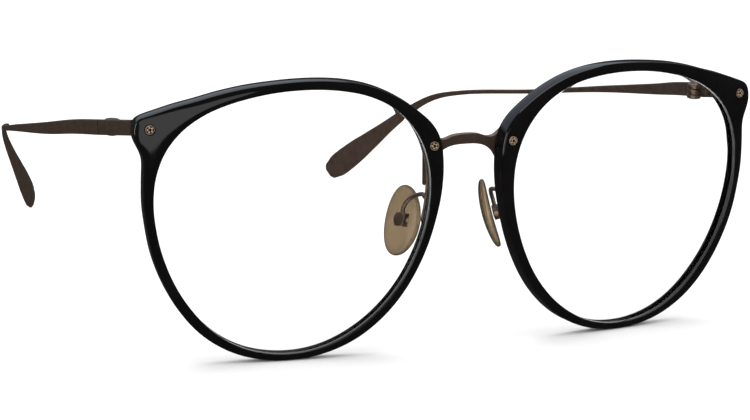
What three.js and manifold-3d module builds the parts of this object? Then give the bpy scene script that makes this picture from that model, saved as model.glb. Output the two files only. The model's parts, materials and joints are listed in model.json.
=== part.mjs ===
// Round eyeglasses: two acetate rims fixed to a titanium bridge and end pieces, with folding
// temples and rocking nose pads.
// Millimetres. +X is the wearer's left, the front faces -Y and +Z is up. The glasses stand open on
// their rims and temple tips, with the origin below the middle of their bounding box.
import * as THREE from "three";
import { mergeVertices } from "three/addons/utils/BufferGeometryUtils.js";
import Module from "manifold-3d";

const wasm = await Module();
wasm.setup();

// ---- Driving dimensions ----

const degrees = THREE.MathUtils.degToRad;

const LENS_CENTRE = 35.45; // from the middle plane to the centre of a rim
const FACE_FORM = degrees(7.5); // each rim turns back at its outer side
const BASE_RADIUS = 144; // of the sphere that the rims and lenses follow
const LEAN = degrees(3.9); // of the front, when the glasses stand on their tips
const SEAM = 0.3; // between pieces that are fixed face to face
const RUNNING_GAP = 0.15; // between pieces that turn on each other
const LAP = 0.1; // by which two shapes of one piece run into each other

// A rim is drawn as the wearer's left one: x to the temple, y up. Its two edges are given as
// distances from its centre, for directions in degrees from the temple side upwards.
const OPENING_RADII = [
  25.95, 26.9, 27.8, 28.3, 28.1, 27.35, 26.4, 25.65, 25.3, 25.3, 25.7, 26.45,
  27.45, 28.3, 28.7, 28.55, 27.9, 26.95, 26, 25.25, 24.75, 24.5, 24.4, 24.45,
  24.6, 24.85, 25.05, 25.15, 25.2, 25.2, 25.05, 24.8, 24.6, 24.6, 24.8, 25.25,
]; // every ten degrees
const OUTSIDE_RADII = [
  [0, 27.65], [10, 28.75], [15, 29.35], [20, 30.15], [23, 30.75], [25.5, 31.7], [27, 32.9],
  [28, 34], [29.3, 34.65], [31, 35.25], [32.8, 35.75], [34, 35.85], [35.6, 35.3], [40, 33.65],
  [45, 32.1], [50, 30.7], [60, 28.9], [70, 27.75], [80, 27.1], [90, 27.05], [100, 27.5],
  [110, 28.35], [120, 29.4], [130, 30.45], [140, 31.55], [146, 32.2], [150, 32.3], [154, 31.95],
  [160, 31], [170, 29.4], [180, 28], [190, 27.1], [200, 26.55], [210, 26.3], [220, 26.25],
  [230, 26.3], [240, 26.4], [250, 26.42], [260, 26.45], [270, 26.5], [280, 26.6], [290, 26.75],
  [300, 26.8], [310, 26.75], [320, 26.6], [330, 26.5], [340, 26.65], [350, 27.05],
]; // the rim widens to a wing behind the outer screw
const WING = [22, 42]; // directions between which the outline needs closer points
const RIM_DEPTH = 3.2;
const RIM_EDGE = 0.3; // chamfer along the rim's edges
const GROOVE_DEPTH = 0.8;
const GROOVE_FRONT = 1.0; // from the rim's front face to the lens groove
const LENS_THICKNESS = 1.3;
const LENS_BLANK_RADIUS = 31;
const LENS_RINGS = 5; // steps of the curve from its middle to its edge
const LENS_SIDES = 30;
const LENS_EDGE_GAP = 0.2; // from the lens's edge to the bottom of its groove

const OUTER_SCREW = [27.3, 18.45];
const INNER_SCREW = [-27, 13.9];
const SCREW_HEAD_RADIUS = 0.85;
const SCREW_HEAD_HEIGHT = 0.45;
const SCREW_HEAD_STAND = 0.15; // of its rounded top above the rim's face
const SHANK_RADIUS = 0.5;
const SCREW_CLEARANCE = 0.2;

const STRAP_THICKNESS = 0.9; // of the metal behind the acetate
// The directions that each plate covers, and its margins to the rim's edges.
const WING_PLATE = { from: 14, to: 52, outer: 0.5, inner: 1 };
const NOSE_PLATE = { from: 126, to: 184, outer: 0.9, inner: 0.1 };
const BRIDGE_THICKNESS = 1.3;
const BRIDGE_BACK = 4.35; // of the bar's back face behind the front plane
const BRIDGE_CHAMFER = 0.25;
// Half of the bar's outline from its lower middle round to its upper middle.
const BRIDGE_HALF = [
  [0, 12.95], [2.6, 12.8], [4.3, 12.25], [5.8, 11.1], [6.9, 9.2], [7.5, 6.8],
  [8.4, 6.8], [8.2, 15.3], [7.2, 15.2], [6.2, 14.5], [5, 14.15], [2.8, 14.75], [0, 15],
];

const HINGE = new THREE.Vector3(62.6, 26, 14.75); // centre of the left hinge pin
const BLADE_START = new THREE.Vector3(64.85, 26, 14.8); // where the end piece meets the temple
const BLADE_DIRECTION = new THREE.Vector3(0.095, 1, -0.22).normalize();
const BLADE_THICKNESS = 1.2;
const BLADE_HEIGHT = 2.95;
const BLADE_SIDES = 10;
const BLADE_SQUARENESS = 0.55; // of its section, from 1 for an ellipse to 0 for a box
const ENDPIECE_LENGTH = 14.4;
const BARREL_RADIUS = 1.4;
const BARREL_HEIGHT = 2.9;
const EYE_HEIGHT = 1;
const PIN_RADIUS = 0.55;
const KNUCKLE_SIDES = 20;
const HINGE_SCREW_HEAD_RADIUS = 0.9;
const HINGE_SCREW_HEAD_HEIGHT = 0.2;
const HINGE_SCREW_STAND = 0.1; // of its head from the lower knuckle, and of its tip in the upper one
const LEAF_THICKNESS = 0.6;
const LEAF_LENGTH = 3.4;
const LEAF_HEIGHT = 2;
const LEAF_SETBACK = 0.5; // of a leaf's end from the seam between the blades

// The left temple's middle line, from the hinge over the ear to the tip.
const TEMPLE_LINE = [
  [66, 38, 12.2], [67.4, 49, 9.45], [66.4, 71.8, 4.1], [61.8, 94.7, -1.6], [54.6, 115.5, -6.4],
  [51.9, 126, -10.1], [49.1, 132.3, -14.6], [43.2, 141.2, -24], [37.3, 149.8, -33.3],
];
// Heights along the temple: it narrows towards the ear and ends in a wide rounded paddle.
const TEMPLE_HEIGHTS = [
  [0, 2.95], [0.1, 2.75], [0.2, 2.2], [0.3, 1.6], [0.45, 1.05], [0.6, 0.95], [0.72, 1.25],
  [0.82, 2.4], [0.9, 4.4], [0.94, 5.4], [0.965, 5.7], [0.985, 5.1], [1, 3.3],
];
const TEMPLE_STEPS = 56;
const TIP_THINNING = 0.3; // how much thinner the tip is than the start
const TEMPLE_LIFT = { left: degrees(0.8), right: 0 }; // the left temple is set a little higher

const PAD_CENTRE = new THREE.Vector3(9.61, 10.38, -3.12);
const PAD_AXIS = new THREE.Vector3(-0.234, 0.204, 0.95).normalize(); // up along the pad
const PAD_NORMAL = new THREE.Vector3(0.88, -0.33, 0.287).normalize(); // from the nose to the arm
const PAD_LENGTH = 13.7;
const PAD_WIDTH = 8.6;
const PAD_TAPER = 0.03; // the pad is wider low down
const PAD_THICKNESS = 2;
const PAD_BOW = 0.65; // of the pad's middle towards the nose
const PAD_ROUNDNESS = 0.6; // of its edge, from 1 for round to 0 for square
const PAD_BACK = PAD_THICKNESS / 2 - PAD_BOW + 0.1; // where the button meets the pad

// The pad box, in the pad's own frame.
const BOX_PLACE = [-1.3, 0.1];
const BOX_HEIGHT = 2.6;
const BOX_FRONT = 0.5;
const BOX_BACK = 1.75;
const BOX_COVER = 0.35; // thickness of the round cover on its back
const BOX_COVER_RADIUS = 1.35;
const BOX_SIDES = 18;
const CHEEK_THICKNESS = 0.5;
const LUG_WIDTH = 1.1;
const LUG_HEIGHT = 1;
const BUTTON_RADIUS = 0.65;
const BUTTON_THICKNESS = 0.2;
const PAD_PIN_DEPTH = 0.95;
const PAD_PIN_RADIUS = 0.25;
const PAD_PIN_CLEARANCE = 0.12;
const PAD_SCREW_HEAD_RADIUS = 0.45;
const PAD_SCREW_HEAD_HEIGHT = 0.35;
const PAD_ARM_RADIUS = 0.42;
const PAD_ARM_LINE = [[8.2, 3.95, 3.2], [7.5, 6, 3], [8.6, 8.6, 1.6]];
const PAD_ARM_STEPS = 14;
const PAD_ARM_DROP = 1.2; // of its straight end above the pad box

const COLOURS = {
  acetate: { color: 0x0b0b0c, roughness: 0.12, metalness: 0 },
  bronze: { color: 0x4a3a33, roughness: 0.4, metalness: 0.9 },
  gold: { color: 0xa08055, roughness: 0.3, metalness: 1 },
  lens: { color: 0xf4f7f8, roughness: 0.03, metalness: 0, transparent: true, opacity: 0.2 },
  pad: { color: 0x8f8163, roughness: 0.35, metalness: 0, transparent: true, opacity: 0.8 },
};

// ---- Solids ----

// A closed geometry as a solid that can be joined and cut.
function solidOf(geometry) {
  const bare = geometry.index ? geometry.toNonIndexed() : geometry.clone();
  bare.deleteAttribute("normal");
  bare.deleteAttribute("uv");
  const merged = mergeVertices(bare, 1e-3);
  return new wasm.Manifold(
    new wasm.Mesh({
      numProp: 3,
      vertProperties: merged.attributes.position.array,
      triVerts: new Uint32Array(merged.index.array),
    }),
  );
}

function geometryOf(solid) {
  const mesh = solid.getMesh();
  const geometry = new THREE.BufferGeometry();
  geometry.setAttribute("position", new THREE.BufferAttribute(mesh.vertProperties, 3));
  geometry.setIndex(new THREE.BufferAttribute(mesh.triVerts, 1));
  return geometry;
}

function cut(geometry, ...tools) {
  const solid = tools.reduce((rest, tool) => rest.subtract(solidOf(tool)), solidOf(geometry));
  return geometryOf(solid);
}

function join(...geometries) {
  return geometryOf(geometries.map(solidOf).reduce((a, b) => a.add(b)));
}

function common(a, b) {
  return geometryOf(solidOf(a).intersect(solidOf(b)));
}

// ---- Outlines ----

// Directions round a rim, closer together along its wing.
const DIRECTIONS = [];
for (let angle = 0; angle < 360; angle += angle >= WING[0] && angle < WING[1] ? 1 : 4) {
  DIRECTIONS.push(angle);
}

// The closed outline through [direction, radius] pairs.
function outlineOf(pairs) {
  const turns = [-360, 0, 360];
  const angles = turns.flatMap((turn) => pairs.map(([angle]) => angle + turn));
  const radii = turns.flatMap(() => pairs.map(([, radius]) => radius));
  const curve = new THREE.CubicInterpolant(angles, radii, 1);
  return DIRECTIONS.map((angle) => {
    const [radius] = curve.evaluate(angle);
    return new THREE.Vector2(radius, 0).rotateAround(new THREE.Vector2(), degrees(angle));
  });
}

// Moves an anticlockwise outline outwards by the distance.
function offset(outline, distance) {
  return outline.map((point, i) => {
    const before = outline.at(i - 1);
    const after = outline[(i + 1) % outline.length];
    const along = after.clone().sub(before).normalize();
    return new THREE.Vector2(point.x + along.y * distance, point.y - along.x * distance);
  });
}

const opening = outlineOf(OPENING_RADII.map((radius, i) => [i * 10, radius]));
const outside = outlineOf(OUTSIDE_RADII);

// A flat piece between two depths behind the front face.
function plate(outline, front, back, chamfer = 0) {
  const geometry = new THREE.ExtrudeGeometry(new THREE.Shape(outline), {
    depth: back - front - 2 * chamfer,
    bevelEnabled: chamfer > 0,
    bevelThickness: chamfer,
    bevelSize: chamfer,
    bevelOffset: -chamfer,
    bevelSegments: 1,
  });
  return geometry.translate(0, 0, chamfer - back);
}

// A round pin along the depth, at a place on the rim.
function stud([x, y], radius, front, back, sides = 16) {
  const geometry = new THREE.CylinderGeometry(radius, radius, back - front, sides);
  return geometry.rotateX(Math.PI / 2).translate(x, y, -(front + back) / 2);
}

const at = (point, depth) => new THREE.Vector3(point.x, point.y, -depth);

// Closes a ring of [outline, depth] edges into one body round the opening.
function hoop(edges) {
  const count = edges[0][0].length;
  const points = edges.flatMap(([outline, depth]) => outline.map((point) => at(point, depth)));
  const faces = [];
  for (let e = 0; e < edges.length; e++) {
    const next = (e + 1) % edges.length;
    for (let i = 0; i < count; i++) {
      const j = (i + 1) % count;
      const [a, b] = [e * count, next * count];
      faces.push(a + i, b + i, b + j, a + i, b + j, a + j);
    }
  }
  const geometry = new THREE.BufferGeometry().setFromPoints(points);
  geometry.setIndex(faces);
  return geometry;
}

const sag = (x, y) => BASE_RADIUS - Math.sqrt(BASE_RADIUS ** 2 - x * x - y * y);

// Bends a flat piece of a rim onto the base sphere.
function dish(geometry) {
  const position = geometry.attributes.position;
  for (let i = 0; i < position.count; i++) {
    position.setZ(i, position.getZ(i) - sag(position.getX(i), position.getY(i)));
  }
  return geometry;
}

// Takes a piece from the left rim's own frame into the frame of the whole front.
function toFront(geometry) {
  return geometry.rotateX(Math.PI / 2).rotateZ(FACE_FORM).translate(LENS_CENTRE, 0, 0);
}

// ---- Rims, lenses and screws ----

function rim() {
  const grooveBack = GROOVE_FRONT + LENS_THICKNESS + 2 * RUNNING_GAP;
  const inner = offset(opening, RIM_EDGE);
  const outer = offset(outside, -RIM_EDGE);
  const groove = offset(opening, GROOVE_DEPTH);
  const ring = hoop([
    [inner, 0],
    [outer, 0],
    [outside, RIM_EDGE],
    [outside, RIM_DEPTH - RIM_EDGE],
    [outer, RIM_DEPTH],
    [inner, RIM_DEPTH],
    [opening, RIM_DEPTH - RIM_EDGE],
    [opening, grooveBack],
    [groove, grooveBack],
    [groove, GROOVE_FRONT],
    [opening, GROOVE_FRONT],
    [opening, RIM_EDGE],
  ]);
  const holes = [OUTER_SCREW, INNER_SCREW].flatMap((place) => [
    dish(stud(place, SHANK_RADIUS + SCREW_CLEARANCE, -RIM_DEPTH, 2 * RIM_DEPTH)),
    dish(stud(place, SCREW_HEAD_RADIUS + SCREW_CLEARANCE, -RIM_DEPTH, SCREW_HEAD_HEIGHT)),
  ]);
  return toFront(cut(dish(ring), ...holes));
}

// A round blank of the lens's curve, cut to the outline of the groove.
function lens() {
  const front = GROOVE_FRONT + RUNNING_GAP;
  const face = [];
  for (let i = 0; i <= LENS_RINGS; i++) {
    const r = (LENS_BLANK_RADIUS * i) / LENS_RINGS;
    face.push(new THREE.Vector2(r, -front - sag(r, 0)));
  }
  const back = face.map((p) => new THREE.Vector2(p.x, p.y - LENS_THICKNESS));
  const blank = new THREE.LatheGeometry([...back, ...face.reverse()], LENS_SIDES).rotateX(Math.PI / 2);
  const cutter = plate(offset(opening, GROOVE_DEPTH - LENS_EDGE_GAP), -RIM_DEPTH, 5 * RIM_DEPTH);
  return toFront(common(blank, cutter));
}

function rimScrew(place) {
  const headBack = SCREW_HEAD_HEIGHT - SCREW_CLEARANCE;
  const head = stud(place, SCREW_HEAD_RADIUS, -SCREW_HEAD_STAND, headBack, 12);
  const shank = stud(place, SHANK_RADIUS, 0, RIM_DEPTH + SEAM + STRAP_THICKNESS);
  return toFront(dish(join(head, shank)));
}

// ---- Lofted pieces ----

// Joins rings of equal length into one closed body with flat ends.
function loft(rings) {
  const sides = rings[0].length;
  const faces = [];
  for (let r = 0; r < rings.length - 1; r++) {
    for (let i = 0; i < sides; i++) {
      const a = r * sides + i;
      const b = r * sides + ((i + 1) % sides);
      faces.push(a, a + sides, b, b, a + sides, b + sides);
    }
  }
  const last = (rings.length - 1) * sides;
  for (let i = 1; i < sides - 1; i++) {
    faces.push(0, i, i + 1, last, last + i + 1, last + i);
  }
  const geometry = new THREE.BufferGeometry().setFromPoints(rings.flat());
  geometry.setIndex(faces);
  return geometry;
}

// The level side and the near-upright edge of a blade that runs along a direction.
function bladeAxes(along) {
  const side = along.clone().cross(new THREE.Vector3(0, 0, 1)).normalize();
  return [side, side.clone().cross(along)];
}

// A ring of points round a blade's section, squarer than an ellipse.
function bladeRing(centre, along, height, thickness) {
  const [side, up] = bladeAxes(along);
  const squash = (v) => Math.sign(v) * Math.abs(v) ** BLADE_SQUARENESS;
  const ring = [];
  for (let i = 0; i < BLADE_SIDES; i++) {
    const angle = (2 * Math.PI * (i + 0.5)) / BLADE_SIDES;
    ring.push(
      centre.clone()
        .addScaledVector(up, (squash(Math.sin(angle)) * height) / 2)
        .addScaledVector(side, (squash(Math.cos(angle)) * thickness) / 2),
    );
  }
  return ring;
}

// ---- Metal behind the acetate ----

// A strip that follows the rim between two directions.
function strap({ from, to, outer, inner }) {
  const front = RIM_DEPTH + SEAM;
  const back = front + STRAP_THICKNESS;
  const wide = offset(outside, -outer);
  const narrow = offset(opening, inner);
  const rings = [...DIRECTIONS.keys()]
    .filter((i) => DIRECTIONS[i] >= from && DIRECTIONS[i] <= to)
    .map((i) => [at(wide[i], front), at(narrow[i], front), at(narrow[i], back), at(wide[i], back)]);
  return toFront(dish(loft(rings)));
}

// The clearance hole that a rim screw needs in the metal.
function screwHole(place) {
  return toFront(dish(stud(place, SHANK_RADIUS + SCREW_CLEARANCE, 0, 2 * RIM_DEPTH)));
}

// The bar over the nose. Each end flares down into the strap behind the rim.
function bridgeBar() {
  const left = BRIDGE_HALF.map(([x, z]) => new THREE.Vector2(x, z));
  const right = BRIDGE_HALF.slice(1, -1).map(([x, z]) => new THREE.Vector2(-x, z)).reverse();
  const bar = plate([...left, ...right], 0, BRIDGE_THICKNESS, BRIDGE_CHAMFER);
  return bar.rotateX(Math.PI / 2).translate(0, BRIDGE_BACK - BRIDGE_THICKNESS, 0);
}

function bridge() {
  const left = strap(NOSE_PLATE);
  const hole = screwHole(INNER_SCREW);
  return cut(join(bridgeBar(), left, mirrored(left)), hole, mirrored(hole));
}

function mirrored(geometry) {
  const copy = geometryOf(solidOf(geometry)).scale(-1, 1, 1);
  const index = copy.index.array;
  for (let i = 0; i < index.length; i += 3) {
    [index[i + 1], index[i + 2]] = [index[i + 2], index[i + 1]];
  }
  return copy;
}

// The metal behind the rim's corner, with the arm that runs back to the hinge.
function endpiece() {
  const corner = strap(WING_PLATE);
  const end = BLADE_START.clone().addScaledVector(BLADE_DIRECTION, -SEAM / 2);
  const start = end.clone().addScaledVector(BLADE_DIRECTION, -ENDPIECE_LENGTH);
  const arm = loft([start, end].map((p) => bladeRing(p, BLADE_DIRECTION, BLADE_HEIGHT, BLADE_THICKNESS)));
  return cut(join(corner, arm), screwHole(OUTER_SCREW));
}

// ---- Temples and hinges ----

function heightAt(t) {
  const next = Math.max(1, TEMPLE_HEIGHTS.findIndex(([place]) => place >= t));
  const [t0, h0] = TEMPLE_HEIGHTS[next - 1];
  const [t1, h1] = TEMPLE_HEIGHTS[next];
  return THREE.MathUtils.mapLinear(t, t0, t1, h0, h1);
}

function temple(lift) {
  const start = BLADE_START.clone().addScaledVector(BLADE_DIRECTION, SEAM / 2);
  const line = TEMPLE_LINE.map((p) => new THREE.Vector3(...p));
  const curve = new THREE.CatmullRomCurve3([start, ...line]);
  const rings = [];
  for (let i = 0; i <= TEMPLE_STEPS; i++) {
    const t = i / TEMPLE_STEPS;
    const thickness = BLADE_THICKNESS - TIP_THINNING * t;
    rings.push(bladeRing(curve.getPointAt(t), curve.getTangentAt(t), heightAt(t), thickness));
  }
  const { x, y, z } = BLADE_START;
  return loft(rings).translate(-x, -y, -z).rotateX(lift).translate(x, y, z);
}

// A round plate with its axis upright, at a height above the hinge's centre.
function knuckle(radius, low, high) {
  const geometry = new THREE.CylinderGeometry(radius, radius, high - low, KNUCKLE_SIDES);
  return geometry.rotateX(Math.PI / 2).translate(HINGE.x, HINGE.y, HINGE.z + (low + high) / 2);
}

// A leaf along the inner face of a blade, from a distance before or after the seam.
function leaf(from, to, height) {
  const [side, up] = bladeAxes(BLADE_DIRECTION);
  const inwards = -(BLADE_THICKNESS / 2 + SEAM + LEAF_THICKNESS / 2);
  const frame = new THREE.Matrix4().makeBasis(side, BLADE_DIRECTION, up).setPosition(BLADE_START);
  const box = new THREE.BoxGeometry(LEAF_THICKNESS, to - from, height);
  return box.translate(inwards, (from + to) / 2, 0).applyMatrix4(frame);
}

const pinHole = () => knuckle(PIN_RADIUS + RUNNING_GAP, -BARREL_HEIGHT, BARREL_HEIGHT);

// The end piece's two knuckles on their leaf.
function hingeFork() {
  const top = BARREL_HEIGHT / 2;
  const gap = EYE_HEIGHT / 2 + RUNNING_GAP;
  const notch = knuckle(BARREL_RADIUS + RUNNING_GAP, -gap, gap);
  const fork = join(
    knuckle(BARREL_RADIUS, -top, -gap),
    knuckle(BARREL_RADIUS, gap, top),
    leaf(-LEAF_LENGTH - LEAF_SETBACK, -LEAF_SETBACK, LEAF_HEIGHT),
  );
  return cut(fork, notch, pinHole());
}

// The temple's middle knuckle on its leaf.
function hingeEye() {
  const half = EYE_HEIGHT / 2;
  const clear = BARREL_RADIUS + RUNNING_GAP;
  const tongue = leaf(LEAF_SETBACK, LEAF_LENGTH, 2 * half);
  const root = leaf(clear, LEAF_LENGTH + LEAF_SETBACK, LEAF_HEIGHT);
  return cut(join(knuckle(BARREL_RADIUS, -half, half), tongue, root), pinHole());
}

// The screw goes in from below, and its tip stays under the top knuckle's face.
function hingeScrew() {
  const tip = BARREL_HEIGHT / 2 - HINGE_SCREW_STAND;
  const high = -BARREL_HEIGHT / 2 - HINGE_SCREW_STAND;
  const low = high - HINGE_SCREW_HEAD_HEIGHT;
  return join(knuckle(PIN_RADIUS, (low + high) / 2, tip), knuckle(HINGE_SCREW_HEAD_RADIUS, low, high));
}

// ---- Nose pads ----

// Takes a piece from the pad's own frame, x across it, y up along it and z to the arm's side.
function toPad(geometry) {
  const across = PAD_AXIS.clone().cross(PAD_NORMAL);
  const matrix = new THREE.Matrix4().makeBasis(across, PAD_AXIS, PAD_NORMAL).setPosition(PAD_CENTRE);
  return geometry.applyMatrix4(matrix);
}

// A flattened drop that bows towards the nose.
function nosePad() {
  const pad = new THREE.SphereGeometry(1, 20, 12).rotateX(Math.PI / 2);
  const position = pad.attributes.position;
  for (let i = 0; i < position.count; i++) {
    const [x, y, z] = [position.getX(i), position.getY(i), position.getZ(i)];
    const half = (Math.sign(z) * Math.abs(z) ** PAD_ROUNDNESS * PAD_THICKNESS) / 2;
    const width = (PAD_WIDTH * (1 - PAD_TAPER * y)) / 2;
    position.setXYZ(i, x * width, (y * PAD_LENGTH) / 2, half - PAD_BOW * (1 - y * y));
  }
  return toPad(pad);
}

// A pin across the pad box, between two distances from the box's middle.
function padPin(radius, from, to) {
  const geometry = new THREE.CylinderGeometry(radius, radius, to - from, 14);
  const [x, y] = BOX_PLACE;
  return geometry.rotateZ(Math.PI / 2).translate(x + (from + to) / 2, y, PAD_PIN_DEPTH);
}

// A block in the pad box's place, at a distance across it and between two depths.
function padBlock(across, width, height, front, back) {
  const [x, y] = BOX_PLACE;
  return new THREE.BoxGeometry(width, height, back - front).translate(x + across, y, (front + back) / 2);
}

const padHole = () => padPin(PAD_PIN_RADIUS + PAD_PIN_CLEARANCE, -BOX_HEIGHT, BOX_HEIGHT);

// The metal button behind the pad, with the lug that the pad screw goes through.
function padButton() {
  const button = stud(BOX_PLACE, BUTTON_RADIUS, -PAD_BACK - BUTTON_THICKNESS, -PAD_BACK, BOX_SIDES);
  const lug = padBlock(0, LUG_WIDTH, LUG_HEIGHT, PAD_BACK + LAP, PAD_PIN_DEPTH + LUG_HEIGHT / 2);
  return toPad(cut(join(button, lug), padHole()));
}

// The open box at the end of the pad arm, which holds the lug between two cheeks.
function padBox() {
  const place = (LUG_WIDTH + CHEEK_THICKNESS) / 2 + RUNNING_GAP;
  const cheek = (x) => padBlock(x, CHEEK_THICKNESS, BOX_HEIGHT, BOX_FRONT, BOX_BACK);
  const cover = stud(BOX_PLACE, BOX_COVER_RADIUS, -BOX_BACK - BOX_COVER, -BOX_BACK + LAP, BOX_SIDES);
  return toPad(cut(join(cheek(-place), cheek(place), cover), padHole()));
}

function padScrew() {
  const outside = LUG_WIDTH / 2 + RUNNING_GAP + CHEEK_THICKNESS;
  const head = -outside - LAP;
  const pin = padPin(PAD_PIN_RADIUS, head - LAP, outside);
  return toPad(join(pin, padPin(PAD_SCREW_HEAD_RADIUS, head - PAD_SCREW_HEAD_HEIGHT, head)));
}

// A bent wire from the lower end of the bridge's strap to the top of the box.
function padArm() {
  const [x, y] = BOX_PLACE;
  const top = y + BOX_HEIGHT / 2 + LAP;
  const depth = (BOX_FRONT + BOX_BACK) / 2;
  const ends = toPad(
    new THREE.BufferGeometry().setFromPoints([
      new THREE.Vector3(x, top + PAD_ARM_DROP, depth),
      new THREE.Vector3(x, top, depth),
    ]),
  ).attributes.position;
  const path = new THREE.CatmullRomCurve3([
    ...PAD_ARM_LINE.map((p) => new THREE.Vector3(...p)),
    new THREE.Vector3().fromBufferAttribute(ends, 0),
    new THREE.Vector3().fromBufferAttribute(ends, 1),
  ]);
  const section = new THREE.Shape().absarc(0, 0, PAD_ARM_RADIUS, 0, 2 * Math.PI);
  return new THREE.ExtrudeGeometry(section, {
    steps: PAD_ARM_STEPS,
    curveSegments: 5,
    extrudePath: path,
    bevelEnabled: false,
  });
}

// ---- Assembly ----

function node(name, geometry, colour) {
  const mesh = new THREE.Mesh(geometry, new THREE.MeshStandardMaterial(COLOURS[colour]));
  mesh.name = name;
  return mesh;
}

const SIDE_PARTS = [
  ["rim", rim(), "acetate"],
  ["lens", lens(), "lens"],
  ["outer_screw", rimScrew(OUTER_SCREW), "gold"],
  ["inner_screw", rimScrew(INNER_SCREW), "gold"],
  ["endpiece", endpiece(), "bronze"],
  ["hinge_fork", hingeFork(), "bronze"],
  ["hinge_eye", hingeEye(), "bronze"],
  ["hinge_screw", hingeScrew(), "gold"],
  ["pad_arm", padArm(), "bronze"],
  ["pad_box", padBox(), "bronze"],
  ["pad_screw", padScrew(), "gold"],
  ["pad_button", padButton(), "bronze"],
  ["nose_pad", nosePad(), "pad"],
];

function sideGroup(side, mirror) {
  const group = new THREE.Group();
  group.scale.x = mirror;
  for (const [name, geometry, colour] of SIDE_PARTS) {
    group.add(node(`${name}_${side}`, geometry, colour));
  }
  group.add(node(`temple_${side}`, temple(TEMPLE_LIFT[side]), "bronze"));
  return group;
}

const front = new THREE.Group();
front.add(node("bridge", bridge(), "bronze"), sideGroup("left", 1), sideGroup("right", -1));
front.rotation.x = LEAN;

const glasses = new THREE.Group();
glasses.name = "eyeglasses";
glasses.add(front);
const bounds = new THREE.Box3().setFromObject(glasses, true);
front.position.set(0, -(bounds.min.y + bounds.max.y) / 2, -bounds.min.z);

export default glasses;
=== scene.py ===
"""Round eyeglasses: acetate rims on a slim metal bridge and end pieces, with folding temples."""
import json
import math

import bpy
import numpy as np
from mathutils import Matrix, Vector


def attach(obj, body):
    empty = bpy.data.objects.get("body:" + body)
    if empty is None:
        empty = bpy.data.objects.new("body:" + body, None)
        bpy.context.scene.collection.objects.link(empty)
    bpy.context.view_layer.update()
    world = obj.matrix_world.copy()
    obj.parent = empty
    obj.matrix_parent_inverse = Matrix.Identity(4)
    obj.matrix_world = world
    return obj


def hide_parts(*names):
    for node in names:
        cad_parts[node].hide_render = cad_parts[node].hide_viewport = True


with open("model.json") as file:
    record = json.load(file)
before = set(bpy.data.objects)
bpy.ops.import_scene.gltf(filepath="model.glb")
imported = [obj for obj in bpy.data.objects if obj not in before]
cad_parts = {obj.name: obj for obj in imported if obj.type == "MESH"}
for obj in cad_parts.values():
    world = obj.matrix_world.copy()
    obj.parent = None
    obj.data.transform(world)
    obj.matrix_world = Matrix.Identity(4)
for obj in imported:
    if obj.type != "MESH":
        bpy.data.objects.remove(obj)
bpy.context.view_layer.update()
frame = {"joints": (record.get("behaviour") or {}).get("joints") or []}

# ---- Sizes, in millimetres in the front's own frame: Z runs up the rims, the front faces -Y ----

LENS_CENTRE = 35.45
FACE_FORM = math.radians(7.5)
BASE_RADIUS = 144
SEAM = 0.3

# The edges of the left rim as distances from its centre, for directions in degrees that start at
# the temple side and turn upwards.
OPENING_RADII = [
    25.95, 26.9, 27.8, 28.3, 28.1, 27.35, 26.4, 25.65, 25.3, 25.3, 25.7, 26.45,
    27.45, 28.3, 28.7, 28.55, 27.9, 26.95, 26, 25.25, 24.75, 24.5, 24.4, 24.45,
    24.6, 24.85, 25.05, 25.15, 25.2, 25.2, 25.05, 24.8, 24.6, 24.6, 24.8, 25.25,
]
OUTSIDE_RADII = [
    (0, 27.65), (10, 28.75), (15, 29.35), (20, 30.15), (23, 30.75), (25.5, 31.7), (27, 32.9),
    (28, 34), (29.3, 34.65), (31, 35.25), (32.8, 35.75), (34, 35.85), (35.6, 35.3), (40, 33.65),
    (45, 32.1), (50, 30.7), (60, 28.9), (70, 27.75), (80, 27.1), (90, 27.05), (100, 27.5),
    (110, 28.35), (120, 29.4), (130, 30.45), (140, 31.55), (146, 32.2), (150, 32.3), (154, 31.95),
    (160, 31), (170, 29.4), (180, 28), (190, 27.1), (200, 26.55), (210, 26.3), (220, 26.25),
    (230, 26.3), (240, 26.4), (250, 26.42), (260, 26.45), (270, 26.5), (280, 26.6), (290, 26.75),
    (300, 26.8), (310, 26.75), (320, 26.6), (330, 26.5), (340, 26.65), (350, 27.05),
]
RIM_POINTS = 720
# The outlines are smoothed over this many of their points, to each side and as a spread.
SMOOTHING_REACH = 8
SMOOTHING_SPREAD = 2.4
RIM_DEPTH = 3.2
RIM_ROUND = 0.34
RIM_CROWN = 0.1
GROOVE_DEPTH = 0.8
GROOVE_FRONT = 1.0
GROOVE_SLOPE = 0.3
LENS_THICKNESS = 1.3
LENS_GAP = 0.15
LENS_EDGE_GAP = 0.25
LENS_BEVEL = 0.45
LENS_BEVEL_DEPTH = 0.35
# The rings of a lens's face, as shares of its edge.
LENS_RINGS = [0.02, 0.15, 0.3, 0.45, 0.6, 0.75, 0.88, 0.96]

OUTER_SCREW = (27.3, 18.45)
INNER_SCREW = (-27, 13.9)
SCREW_HEAD_RADIUS = 0.85
SCREW_STAND = 0.12
SCREW_FLOOR = -0.27
SCREW_FLOOR_EDGE = 0.04
SCREW_SIDES = 48
SCREW_LOBES = 5
# Where the lobes stand and how large they are, as shares of the head's radius, and how flat.
LOBE_RING = 0.52
LOBE_SIZE = 0.25
LOBE_SCALE = (1, 1, 0.8)
# A screw head from its foot over its lip to the floor inside it, as (radius, height).
SCREW_PROFILE = [
    (0, -0.5), (0.6, -0.5), (0.78, -0.44), (SCREW_HEAD_RADIUS, -0.3), (SCREW_HEAD_RADIUS, -0.04),
    (0.83, 0.02), (0.79, 0.04), (0.75, 0.02), (0.73, SCREW_FLOOR), (0.2, SCREW_FLOOR), (0, SCREW_FLOOR),
]
RECESS_RADIUS = 1.02
RECESS_DEPTH = 0.5

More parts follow.
